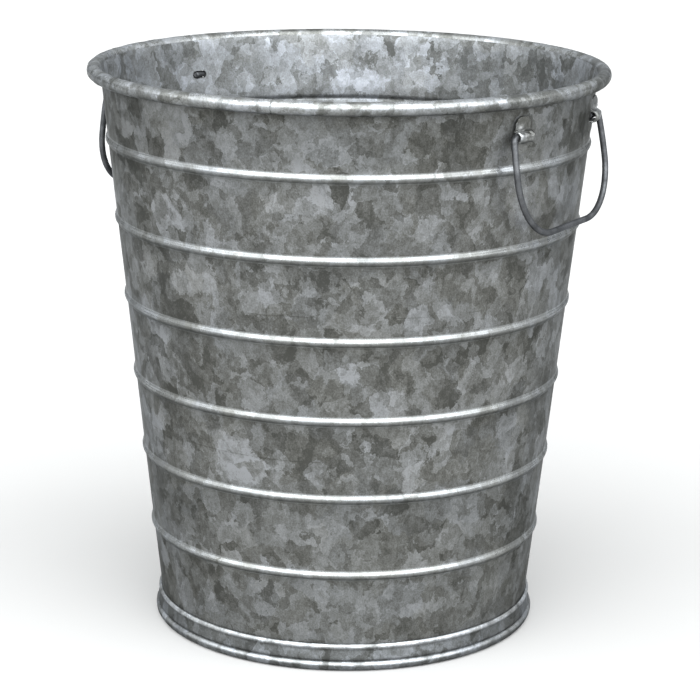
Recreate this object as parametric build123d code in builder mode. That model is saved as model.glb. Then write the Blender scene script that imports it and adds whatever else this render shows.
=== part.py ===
"""Florist bucket: a tapered galvanised sheet-steel flower bucket.

Ten separate pieces: the swaged body with its rolled rim and lock seam, the wire inside the roll,
the raised bottom pan, the beaded foot band, four welded sheet ears and two swinging wire handles.

Frame: origin on the bucket's axis in the plane it stands on, +Z up. handle_right hangs on the +X
side, handle_left on the -X side. Millimetres.
"""

from build123d import *
import math
import os

os.makedirs("parts", exist_ok=True)

# ---------------------------------------------------------------- driving dimensions
HEIGHT = 304.8            # standing height, 12 in
RIM_R = 139.1             # outside radius of the rolled rim
ROLL_R = 3.65             # outside radius of the roll's section
SHEET = 0.7               # body sheet
WALL_R0 = 99.98           # outside wall radius, produced down to z = 0
WALL_K = 0.1065           # wall radius gained per mm of height
BEAD_Z = (265.0, 222.8, 180.3, 137.8, 95.3, 52.7)   # crests of the six swage beads
BEAD_OUT = 1.3            # how far a bead stands out
BEAD_HALF = 3.1           # half of its height
BEAD_CREST_R = 2.2        # outside radius at its crest
BODY_BOTTOM = 1.5         # lower edge of the body sheet, inside the foot

SEAM_AT = 193.6           # azimuth of the vertical lock seam, degrees
SEAM_W = 5.2              # width of the seam
SEAM_T = 1.1              # how far the folded layers stand out

FIT = 0.05                # gap left between sheets that lie on each other

HINGE_D = 124.0           # hinge axis to bucket axis
HINGE_Z = 282.6           # hinge axis above the base
WIRE_R = 1.65             # handle wire
LEG_U = 48.58             # top of each handle leg, from the handle's middle
LEG_MAX_U = 49.93         # widest point of the legs
DROP = 51.8               # hinge axis to the bottom of the handle
CORNER_R = 29.6           # bottom corners of the handle
LEG_ARC_R = 150.0         # slight outward bow of the legs
BEND_R = 2.4              # bend from leg to pivot end
STUB_U = 37.4             # tip of each pivot end
RIGHT_TILT = 9.4          # how far each handle stands out from hanging straight, degrees
LEFT_TILT = 6.0

EAR_AT = 17.95            # azimuth of an ear's centre from its handle's middle, degrees
EAR_IN = 15.35            # azimuth of the ear's inner edge
EAR_U = 45.95             # the ear's outer edge, square to the hinge axis
EAR_T = 0.8               # ear strap thickness
EAR_BORE = 2.3            # half height of the loop
EAR_CREST = 4.1           # inside of the loop's crest, off the wall
EAR_UP = 10.3             # reach of the upper and lower foot
EAR_DOWN = 9.4
SLOT_FROM, SLOT_TO = 15.9, 20.1   # azimuths of the slot pierced behind each loop, degrees
SLOT_HALF = 2.2           # half height of that slot

PAN_Z = 10.0              # top of the raised bottom
PAN_T = 0.7
FOOT_R = 104.7            # outside of the foot's lower roll

TILT = math.atan(WALL_K)
SIN, COS = math.sin(TILT), math.cos(TILT)


def wall(z, off=0.0):
    """Radius of the outside wall surface at height z, moved off it along its normal."""
    return WALL_R0 + WALL_K * z + off / COS


def on_wall(s, off=0.0):
    """Point (r, z) at slant length s along the outside wall, off it along the normal."""
    return (WALL_R0 + s * SIN + off * COS, s * COS - off * SIN)


# rim roll: the wall flares a little at its very top and runs into the roll without a corner
ROLL_C = (RIM_R - ROLL_R, HEIGHT - ROLL_R)
CORE_R = ROLL_R - SHEET
FLARE = math.radians(8.6)
T1 = TILT + FLARE
n0 = (COS, -SIN)
n1 = (math.cos(T1), -math.sin(T1))
a11, a12 = SIN, n0[0] - n1[0]
a21, a22 = COS, n0[1] - n1[1]
b1 = ROLL_C[0] - WALL_R0 - CORE_R * n1[0]
b2 = ROLL_C[1] - CORE_R * n1[1]
det = a11 * a22 - a12 * a21
FLARE_S = (b1 * a22 - a12 * b2) / det
FLARE_RHO = (a11 * b2 - a21 * b1) / det
END_A = math.radians(-152)   # where the curl closes on the wall

BEAD_T = 2 * math.atan(BEAD_OUT / BEAD_HALF)
BEAD_SUM = BEAD_HALF / math.sin(BEAD_T)
BEAD_FOOT_R = BEAD_SUM - BEAD_CREST_R
BEAD_S = [z / COS for z in BEAD_Z]


def bead_arcs(s, off):
    """Five points and three arc midpoints of one bead, from below, on the surface off the wall."""
    crest, foot = BEAD_CREST_R + off, BEAD_FOOT_R - off
    out = []
    cc = (s, BEAD_OUT - BEAD_CREST_R)
    for sign in (-1, 1):
        fc = (s + sign * BEAD_HALF, BEAD_FOOT_R)
        start = (fc[0], fc[1] - foot)
        mid = (fc[0] - sign * foot * math.sin(BEAD_T / 2), fc[1] - foot * math.cos(BEAD_T / 2))
        end = (fc[0] - sign * foot * math.sin(BEAD_T), fc[1] - foot * math.cos(BEAD_T))
        out.append((start, mid, end))
    lo, hi = out
    pts = [lo, (lo[2], (cc[0], cc[1] + crest), hi[2]), (hi[2], hi[1], hi[0])]
    return [tuple(on_wall(*p) for p in arc) for arc in pts]


def wall_run(off, s_from, s_to):
    """Lines and arcs of the beaded wall surface from slant s_from up to s_to."""
    at = on_wall(s_from, off)
    for s in sorted(BEAD_S):
        arcs = bead_arcs(s, off)
        Line(at, arcs[0][0])
        for a, m, b in arcs:
            ThreePointArc(a, m, b)
        at = arcs[2][2]
    Line(at, on_wall(s_to, off))


def circle_pt(radius, angle):
    return (ROLL_C[0] + radius * math.cos(angle), ROLL_C[1] + radius * math.sin(angle))


def flare_pt(off, t):
    q = on_wall(FLARE_S, 0.0)
    q = (q[0] + FLARE_RHO * n0[0], q[1] + FLARE_RHO * n0[1])
    rho = FLARE_RHO - off
    return (q[0] - rho * math.cos(t), q[1] + rho * math.sin(t))


# ---------------------------------------------------------------- body
s_bottom = BODY_BOTTOM / COS
A0 = math.pi - T1
with BuildPart() as body_shell:
    with BuildSketch(Plane.XZ) as body_profile:
        with BuildLine():
            wall_run(0.0, s_bottom, FLARE_S)
            ThreePointArc(on_wall(FLARE_S), flare_pt(0, (TILT + T1) / 2), circle_pt(CORE_R, A0))
            ThreePointArc(circle_pt(CORE_R, A0), circle_pt(CORE_R, math.pi / 2), circle_pt(CORE_R, 0))
            ThreePointArc(circle_pt(CORE_R, 0), circle_pt(CORE_R, END_A / 2), circle_pt(CORE_R, END_A))
            Line(circle_pt(CORE_R, END_A), circle_pt(ROLL_R, END_A))
            ThreePointArc(circle_pt(ROLL_R, END_A), circle_pt(ROLL_R, END_A / 2), circle_pt(ROLL_R, 0))
            ThreePointArc(circle_pt(ROLL_R, 0), circle_pt(ROLL_R, math.pi / 2), circle_pt(ROLL_R, A0))
            ThreePointArc(
                circle_pt(ROLL_R, A0), flare_pt(-SHEET, (TILT + T1) / 2), on_wall(FLARE_S, -SHEET)
            )
            wall_run(-SHEET, s_bottom, FLARE_S)
            Line(on_wall(s_bottom, -SHEET), on_wall(s_bottom, 0.0))
        make_face()
    revolve(axis=Axis.Z)
    # vertical lock seam: the folded layers stand out along the wall and follow the beads
    half = math.degrees(SEAM_W / 2 / 118.0)
    with BuildSketch(Plane.XZ.rotated((0, 0, SEAM_AT - half))) as seam_profile:
        with BuildLine():
            wall_run(SEAM_T, 15.4 / COS, 293.6 / COS)
            wall_run(-SHEET / 2, 15.4 / COS, 293.6 / COS)
            Line(on_wall(15.4 / COS, SEAM_T), on_wall(15.4 / COS, -SHEET / 2))
            Line(on_wall(293.6 / COS, SEAM_T), on_wall(293.6 / COS, -SHEET / 2))
        make_face()
    revolve(axis=Axis.Z, revolution_arc=2 * half)
    # four slots behind the ears, for the handles' pivot ends
    for mid in (0, 180):
        for side in (-1, 1):
            az = mid + side * (SLOT_FROM + SLOT_TO) / 2
            width = math.radians(SLOT_TO - SLOT_FROM) * wall(HINGE_Z)
            out = Vector(math.cos(math.radians(az)), math.sin(math.radians(az)), 0)
            with BuildSketch(
                Plane(origin=out * 122 + Vector(0, 0, HINGE_Z), x_dir=out.cross(Vector(0, 0, 1)), z_dir=out)
            ):
                SlotOverall(width, 2 * SLOT_HALF)
            extrude(amount=14, mode=Mode.SUBTRACT)
body_shell.part.label = "body_shell"

# ---------------------------------------------------------------- wire inside the roll
with BuildPart() as rim_wire:
    with BuildSketch(Plane.XZ):
        with Locations(ROLL_C):
            Circle(CORE_R - FIT)
    revolve(axis=Axis.Z)
rim_wire.part.label = "rim_wire"

# ---------------------------------------------------------------- raised bottom pan
pan_edge = 1.6


def inside(z, off=0.0):
    """Radius just inside the body sheet at height z."""
    return wall(z, -SHEET) - (FIT + off) / COS


with BuildPart() as bottom_pan:
    with BuildSketch(Plane.XZ) as pan_profile:
        with BuildLine():
            bend = 2.2
            # outside: flange up to the bend, then the disc, dished a little and swaged once
            Line((inside(pan_edge), pan_edge), (inside(PAN_Z - bend), PAN_Z - bend))
            ThreePointArc(
                (inside(PAN_Z - bend), PAN_Z - bend),
                (inside(PAN_Z) - bend * 0.30, PAN_Z - bend * 0.29),
                (inside(PAN_Z) - bend, PAN_Z),
            )
            Line((inside(PAN_Z) - bend, PAN_Z), (82, PAN_Z))
            ThreePointArc((82, PAN_Z), (79.5, PAN_Z - 0.35), (77, PAN_Z - 1.2))
            ThreePointArc((77, PAN_Z - 1.2), (74.5, PAN_Z - 2.05), (72, PAN_Z - 2.4))
            Line((72, PAN_Z - 2.4), (0, PAN_Z - 2.4))
            Line((0, PAN_Z - 2.4), (0, PAN_Z - 2.4 - PAN_T))
            Line((0, PAN_Z - 2.4 - PAN_T), (72, PAN_Z - 2.4 - PAN_T))
            ThreePointArc(
                (72, PAN_Z - 2.4 - PAN_T), (74.75, PAN_Z - 2.07 - PAN_T), (77.3, PAN_Z - 1.2 - PAN_T)
            )
            ThreePointArc(
                (77.3, PAN_Z - 1.2 - PAN_T), (79.7, PAN_Z - 0.33 - PAN_T), (82, PAN_Z - PAN_T)
            )
            Line((82, PAN_Z - PAN_T), (inside(PAN_Z) - bend, PAN_Z - PAN_T))
            ThreePointArc(
                (inside(PAN_Z) - bend, PAN_Z - PAN_T),
                (inside(PAN_Z) - bend + 0.95, PAN_Z - PAN_T - 0.43),
                (inside(PAN_Z - bend, PAN_T), PAN_Z - bend),
            )
            Line((inside(PAN_Z - bend, PAN_T), PAN_Z - bend), (inside(pan_edge, PAN_T), pan_edge))
            Line((inside(pan_edge, PAN_T), pan_edge), (inside(pan_edge), pan_edge))
        make_face()
    revolve(axis=Axis.Z)
bottom_pan.part.label = "bottom_pan"

# ---------------------------------------------------------------- foot band
# A hoop round the base: ridge at the top, sloping band, narrow groove, lower roll, and an inward
# turn under the body and pan edges that it is clenched on.
roll_c = (FOOT_R - 2.55, 2.6)
inner_lip = inside(3.0, PAN_T) - 0.1
with BuildPart() as foot_band:
    with BuildSketch(Plane.XZ) as foot_profile:
        with BuildLine():
            Line((wall(1.4, FIT), 1.4), (wall(14.1, FIT), 14.1))
            ThreePointArc((wall(14.1, FIT), 14.1), (102.35, 13.95), (102.85, 13.35))
            ThreePointArc((102.85, 13.35), (103.14, 12.55), (102.95, 11.7))
            ThreePointArc((102.95, 11.7), (102.78, 10.9), (102.86, 10.1))
            Line((102.86, 10.1), (103.55, 6.1))
            ThreePointArc((103.55, 6.1), (103.42, 5.58), (102.9, 5.35))
            Line((102.9, 5.35), (102.9, 5.04))
            ThreePointArc((102.9, 5.04), (104.52, 3.55), (104.55, 1.75))
            ThreePointArc((104.55, 1.75), (104.0, 0.55), (103.0, 0.0))
            Line((103.0, 0.0), (inner_lip - 0.1, 0.0))
            ThreePointArc((inner_lip - 0.1, 0.0), (inner_lip - 0.6, 0.2), (inner_lip - 0.8, 0.7))
            Line((inner_lip - 0.8, 0.7), (inner_lip - 0.8, 4.6))
            Line((inner_lip - 0.8, 4.6), (inner_lip - 0.1, 4.6))
            Line((inner_lip - 0.1, 4.6), (inner_lip - 0.1, 1.4))
            Line((inner_lip - 0.1, 1.4), (wall(1.4, FIT), 1.4))
        make_face()
    revolve(axis=Axis.Z)
foot_band.part.label = "foot_band"


# ---------------------------------------------------------------- ears
def ear_profile():
    """Strap section: two feet on the wall and a loop between them, drawn along the wall's slope."""
    s0 = HINGE_Z / COS
    g = 0.03
    cen = EAR_CREST - EAR_BORE           # centre of the loop's round, off the wall
    ro = EAR_BORE + EAR_T
    fr = 1.3                             # fillet from foot to loop
    c45 = math.sqrt(0.5)

    def p(ds, n):
        return on_wall(s0 + ds, n)

    Line(p(-EAR_DOWN, g), p(-EAR_BORE - 0.25, g))
    Line(p(-EAR_BORE - 0.25, g), p(-EAR_BORE, 0.6))
    Line(p(-EAR_BORE, 0.6), p(-EAR_BORE, cen))
    ThreePointArc(p(-EAR_BORE, cen), p(0, cen + EAR_BORE), p(EAR_BORE, cen))
    Line(p(EAR_BORE, cen), p(EAR_BORE, 0.6))
    Line(p(EAR_BORE, 0.6), p(EAR_BORE + 0.25, g))
    Line(p(EAR_BORE + 0.25, g), p(EAR_UP, g))
    Line(p(EAR_UP, g), p(EAR_UP, g + EAR_T))
    Line(p(EAR_UP, g + EAR_T), p(ro + fr, g + EAR_T))
    ThreePointArc(
        p(ro + fr, g + EAR_T), p(ro + fr * (1 - c45), g + EAR_T + fr * (1 - c45)), p(ro, g + EAR_T + fr)
    )
    ThreePointArc(p(ro, g + EAR_T + fr), p(0, cen + ro), p(-ro, g + EAR_T + fr))
    ThreePointArc(
        p(-ro, g + EAR_T + fr), p(-ro - fr * (1 - c45), g + EAR_T + fr * (1 - c45)), p(-ro - fr, g + EAR_T)
    )
    Line(p(-ro - fr, g + EAR_T), p(-EAR_DOWN, g + EAR_T))
    Line(p(-EAR_DOWN, g + EAR_T), p(-EAR_DOWN, g))


def ear_outline_plane(az):
    """Plane square to the wall's radius at the ear, its x running round the wall."""
    out = Vector(math.cos(math.radians(az)), math.sin(math.radians(az)), 0)
    return Plane(origin=out * 120 + Vector(0, 0, HINGE_Z), x_dir=Vector(0, 0, 1).cross(out), z_dir=out)


def make_ear(mid, side):
    az0 = mid + (EAR_IN if side > 0 else -22.6)
    with BuildPart() as ear:
        with BuildSketch(Plane.XZ.rotated((0, 0, az0))):
            with BuildLine():
                ear_profile()
            make_face()
        revolve(axis=Axis.Z, revolution_arc=22.6 - EAR_IN)
        # rounded outline
        with BuildSketch(ear_outline_plane(mid + side * EAR_AT)):
            with Locations((0.15 * side, (EAR_UP - EAR_DOWN) / 2)):
                RectangleRounded(12.1, EAR_UP + EAR_DOWN, 5.2)
        extrude(amount=24, mode=Mode.INTERSECT)
        # outer edge square to the hinge axis, clear of the handle's bend
        mr = math.radians(mid)
        er = Vector(math.cos(mr), math.sin(mr), 0)
        et = Vector(-math.sin(mr), math.cos(mr), 0)
        with BuildSketch(
            Plane(origin=er * 120 + et * (side * (EAR_U + 10)) + Vector(0, 0, HINGE_Z), x_dir=et, z_dir=er)
        ):
            Rectangle(20, 40)
        extrude(amount=24, mode=Mode.SUBTRACT)
    return ear


ears = {}
for ear_name, ear_mid, ear_side in (
    ("ear_right_front", 0, -1),
    ("ear_right_rear", 0, 1),
    ("ear_left_front", 180, 1),
    ("ear_left_rear", 180, -1),
):
    ears[ear_name] = make_ear(ear_mid, ear_side)
    ears[ear_name].part.label = ear_name


# ---------------------------------------------------------------- handles
def handle_points():
    """Key points (u, w) of half the handle: u along the hinge axis, w down from it."""
    corner = (LEG_MAX_U - CORNER_R, DROP - CORNER_R)
    a45 = CORNER_R * math.sqrt(0.5)
    bow = math.asin((DROP - CORNER_R - BEND_R) / LEG_ARC_R)
    for _ in range(20):   # the leg's bow ends where the pivot bend begins
        top_w = BEND_R * (1 - math.sin(bow))
        bow = math.asin((DROP - CORNER_R - top_w) / LEG_ARC_R)
    top_u = LEG_MAX_U - LEG_ARC_R * (1 - math.cos(bow))
    mid_bow = (LEG_MAX_U - LEG_ARC_R * (1 - math.cos(bow / 2)), corner[1] - LEG_ARC_R * math.sin(bow / 2))
    bc = (top_u - BEND_R * math.cos(bow), top_w + BEND_R * math.sin(bow))
    h = (bow + math.pi / 2) / 2
    mid_bend = (bc[0] + BEND_R * math.cos(h), bc[1] - BEND_R * math.sin(h))
    return {
        "floor": (corner[0], DROP),
        "mid_corner": (corner[0] + a45, corner[1] + a45),
        "leg_low": (LEG_MAX_U, corner[1]),
        "mid_bow": mid_bow,
        "leg_top": (top_u, top_w),
        "mid_bend": mid_bend,
        "bend_end": (bc[0], 0.0),
        "tip": (STUB_U, 0.0),
    }


def make_handle(mid, tilt):
    k = handle_points()
    mr, b = math.radians(mid), math.radians(tilt)
    er = Vector(math.cos(mr), math.sin(mr), 0)
    et = Vector(-math.sin(mr), math.cos(mr), 0)
    down = Vector(0, 0, -math.cos(b)) + er * math.sin(b)
    o = er * HINGE_D + Vector(0, 0, HINGE_Z)

    def p(name, sign):
        u, w = k[name]
        return o + et * (sign * u) + down * w

    with BuildPart() as handle:
        with BuildLine() as path:
            Line(p("tip", -1), p("bend_end", -1))
            ThreePointArc(p("bend_end", -1), p("mid_bend", -1), p("leg_top", -1))
            ThreePointArc(p("leg_top", -1), p("mid_bow", -1), p("leg_low", -1))
            ThreePointArc(p("leg_low", -1), p("mid_corner", -1), p("floor", -1))
            Line(p("floor", -1), p("floor", 1))
            ThreePointArc(p("floor", 1), p("mid_corner", 1), p("leg_low", 1))
            ThreePointArc(p("leg_low", 1), p("mid_bow", 1), p("leg_top", 1))
            ThreePointArc(p("leg_top", 1), p("mid_bend", 1), p("bend_end", 1))
            Line(p("bend_end", 1), p("tip", 1))
        with BuildSketch(Plane(origin=p("tip", -1), x_dir=er, z_dir=-et)):
            Circle(WIRE_R)
        sweep(path=path.line)
        tips = handle.faces().filter_by(GeomType.PLANE).sort_by(Axis(tuple(o), tuple(et)))
        chamfer(tips[0].edges() + tips[-1].edges(), 0.3)
    return handle


handle_right = make_handle(0, RIGHT_TILT)
handle_right.part.label = "handle_right"
handle_left = make_handle(180, LEFT_TILT)
handle_left.part.label = "handle_left"

# ---------------------------------------------------------------- write the pieces
export_step(body_shell.part, "parts/body_shell.step")
export_step(rim_wire.part, "parts/rim_wire.step")
export_step(bottom_pan.part, "parts/bottom_pan.step")
export_step(foot_band.part, "parts/foot_band.step")
for ear_name, ear in ears.items():
    export_step(ear.part, "parts/" + ear_name + ".step")
export_step(handle_right.part, "parts/handle_right.step")
export_step(handle_left.part, "parts/handle_left.step")
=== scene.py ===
"""Florist bucket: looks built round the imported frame. Lengths below are millimetres unless they say
metres; every mesh is written in the row frame (origin on the bucket's axis, in the plane it stands on)."""

import math

import bpy
import numpy as np
from mathutils import Matrix, Vector, noise


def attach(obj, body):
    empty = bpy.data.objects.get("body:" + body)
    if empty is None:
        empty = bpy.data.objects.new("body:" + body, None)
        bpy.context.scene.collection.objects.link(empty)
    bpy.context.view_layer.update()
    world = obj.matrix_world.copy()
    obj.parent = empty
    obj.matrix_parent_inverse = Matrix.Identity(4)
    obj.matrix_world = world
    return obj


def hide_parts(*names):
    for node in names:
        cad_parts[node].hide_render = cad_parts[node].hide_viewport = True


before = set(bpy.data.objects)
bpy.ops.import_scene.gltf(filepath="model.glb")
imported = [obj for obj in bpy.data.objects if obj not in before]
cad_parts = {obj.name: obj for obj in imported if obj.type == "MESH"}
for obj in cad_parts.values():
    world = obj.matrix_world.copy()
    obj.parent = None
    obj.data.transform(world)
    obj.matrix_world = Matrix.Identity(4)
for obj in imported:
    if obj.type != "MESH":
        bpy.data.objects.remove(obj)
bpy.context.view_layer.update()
MM = 0.001
col = bpy.context.scene.collection

# ------------------------------------------------------------------ sizes, as in the CAD
HEIGHT, RIM_R, ROLL_R, SHEET = 304.8, 139.1, 3.65, 0.7
WALL_R0, WALL_K = 99.98, 0.1065
BEAD_Z = (265.0, 222.8, 180.3, 137.8, 95.3, 52.7)
BEAD_OUT, BEAD_HALF, BEAD_CREST_R = 1.3, 3.1, 2.2
BODY_BOTTOM = 1.5
SEAM_AT, SEAM_W, SEAM_T = 193.6, 5.2, 1.1
FIT = 0.05
HINGE_D, HINGE_Z, WIRE_R = 124.0, 282.6, 1.65
LEG_MAX_U, DROP, CORNER_R, LEG_ARC_R, BEND_R, STUB_U = 49.93, 51.8, 29.6, 150.0, 2.4, 37.4
RIGHT_TILT, LEFT_TILT = 9.4, 6.0
SLOT_FROM, SLOT_TO, SLOT_HALF = 15.9, 20.1, 2.2
PAN_Z, PAN_T, FOOT_R = 10.0, 0.7, 104.7
EAR_UP, EAR_DOWN = 10.3, 9.4
TILT = math.atan(WALL_K)
SIN, COS = math.sin(TILT), math.cos(TILT)
ROLL_C = (RIM_R - ROLL_R, HEIGHT - ROLL_R)
CORE_R = ROLL_R - SHEET
T1 = TILT + math.radians(8.6)
_n0, _n1 = (COS, -SIN), (math.cos(T1), -math.sin(T1))
_b1 = ROLL_C[0] - WALL_R0 - CORE_R * _n1[0]
_b2 = ROLL_C[1] - CORE_R * _n1[1]
_det = SIN * (_n0[1] - _n1[1]) - (_n0[0] - _n1[0]) * COS
FLARE_S = (_b1 * (_n0[1] - _n1[1]) - (_n0[0] - _n1[0]) * _b2) / _det
FLARE_RHO = (SIN * _b2 - COS * _b1) / _det
END_A = math.radians(-152)
BEAD_T = 2 * math.atan(BEAD_OUT / BEAD_HALF)
BEAD_FOOT_R = BEAD_HALF / math.sin(BEAD_T) - BEAD_CREST_R


def wall(z, off=0.0):
    return WALL_R0 + WALL_K * z + off / COS


def n1(x, y=0.0, z=0.0, seed=0.0):
    """Smooth noise, about -1 to 1."""
    return noise.noise(Vector((x + seed * 17.13, y - seed * 5.71, z + seed * 9.37)))


def new_mesh(name, verts, faces, body, materials, smooth_angle=38.0, face_mats=None):
    """A mesh piece in the row frame from millimetre points."""
    me = bpy.data.meshes.new(name)
    me.from_pydata([(x * MM, y * MM, z * MM) for x, y, z in verts], [], faces)
    me.validate()
    me.polygons.foreach_set("use_smooth", [True] * len(me.polygons))
    me.set_sharp_from_angle(angle=math.radians(smooth_angle))
    for m in materials:
        me.materials.append(m)
    if face_mats is not None:
        me.polygons.foreach_set("material_index", face_mats)
    me.update()
    o = bpy.data.objects.new(name, me)
    col.objects.link(o)
    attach(o, body)
    return o


def paint(o, name, values):
    """A number on each vertex that the zinc's colour reads."""
    o.data.attributes.new(name, "FLOAT", "POINT").data.foreach_set("value", np.asarray(values, np.float32))


# ------------------------------------------------------------------ node helpers
class Tree:
    """Short names for building a material's nodes."""

    def __init__(self, name):
        self.mat = bpy.data.materials.new(name)
        self.mat.use_nodes = True
        self.nt = self.mat.node_tree
        self.nt.nodes.clear()
        self.n = 0

    def node(self, kind, **props):
        nd = self.nt.nodes.new(kind)
        nd.location = (220 * (self.n % 14), -260 * (self.n // 14))
        self.n += 1
        for k, v in props.items():
            setattr(nd, k, v)
        return nd

    def put(self, socket, value):
        if isinstance(value, bpy.types.NodeSocket):
            self.nt.links.new(value, socket)
        else:
            socket.default_value = value

    def math(self, op, a, b=0.0, c=None, clamp=False):
        nd = self.node("ShaderNodeMath", operation=op, use_clamp=clamp)
        self.put(nd.inputs[0], a)
        self.put(nd.inputs[1], b)
        if c is not None:
            self.put(nd.inputs[2], c)
        return nd.outputs[0]

    def vec(self, op, a, b=(0, 0, 0), scale=None):
        nd = self.node("ShaderNodeVectorMath", operation=op)
        self.put(nd.inputs[0], a)
        if op != "SCALE":
            self.put(nd.inputs[1], b)
        if scale is not None:
            self.put(nd.inputs["Scale"], scale)
        return nd.outputs[0]

    def noise(self, vector, scale, detail=2.0, rough=0.5, colour=False, distortion=0.0):
        nd = self.node("ShaderNodeTexNoise", noise_dimensions="3D")
        self.put(nd.inputs["Vector"], vector)
        nd.inputs["Scale"].default_value = scale
        nd.inputs["Detail"].default_value = detail
        nd.inputs["Roughness"].default_value = rough
        nd.inputs["Distortion"].default_value = distortion
        return nd.outputs["Color"] if colour else nd.outputs[0]

    def voronoi(self, vector, scale, feature="F1", randomness=1.0):
        nd = self.node("ShaderNodeTexVoronoi", voronoi_dimensions="3D", feature=feature)
        self.put(nd.inputs["Vector"], vector)
        nd.inputs["Scale"].default_value = scale
        nd.inputs["Randomness"].default_value = randomness
        return nd

    def split(self, colour):
        nd = self.node("ShaderNodeSeparateColor")
        self.put(nd.inputs[0], colour)
        return nd.outputs[0], nd.outputs[1], nd.outputs[2]

    def node_split(self, vector):
        nd = self.node("ShaderNodeSeparateXYZ")
        self.put(nd.inputs[0], vector)
        return nd.outputs[0], nd.outputs[1], nd.outputs[2]

    def remap(self, value, a, b, c, d, smooth=False):
        nd = self.node("ShaderNodeMapRange")
        if smooth:
            nd.interpolation_type = "SMOOTHSTEP"
        nd.clamp = True
        self.put(nd.inputs[0], value)
        for i, v in zip((1, 2, 3, 4), (a, b, c, d)):
            nd.inputs[i].default_value = v
        return nd.outputs[0]

    def ramp(self, value, stops, interpolation="LINEAR"):
        nd = self.node("ShaderNodeValToRGB")
        cr = nd.color_ramp
        cr.interpolation = interpolation
        while len(cr.elements) < len(stops):
            cr.elements.new(0.5)
        for e, (p, c) in zip(cr.elements, stops):
            e.position = p
            e.color = (*c, 1.0)
        self.put(nd.inputs[0], value)
        return nd.outputs[0]

    def mix(self, fac, a, b, blend="MIX"):
        nd = self.node("ShaderNodeMix", data_type="RGBA", blend_type=blend)
        self.put(nd.inputs[0], fac)
        for s, v in ((nd.inputs[6], a), (nd.inputs[7], b)):
            self.put(s, (*v, 1.0) if isinstance(v, tuple) and len(v) == 3 else v)
        return nd.outputs[2]

    def finish(self, **inputs):
        p = self.node("ShaderNodeBsdfPrincipled")
        for k, v in inputs.items():
            s = p.inputs[k.replace("_", " ")]
            self.put(s, (*v, 1.0) if isinstance(v, tuple) and len(v) == 3 else v)
        out = self.node("ShaderNodeOutputMaterial")
        self.nt.links.new(p.outputs[0], out.inputs[0])
        return self.mat


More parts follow.
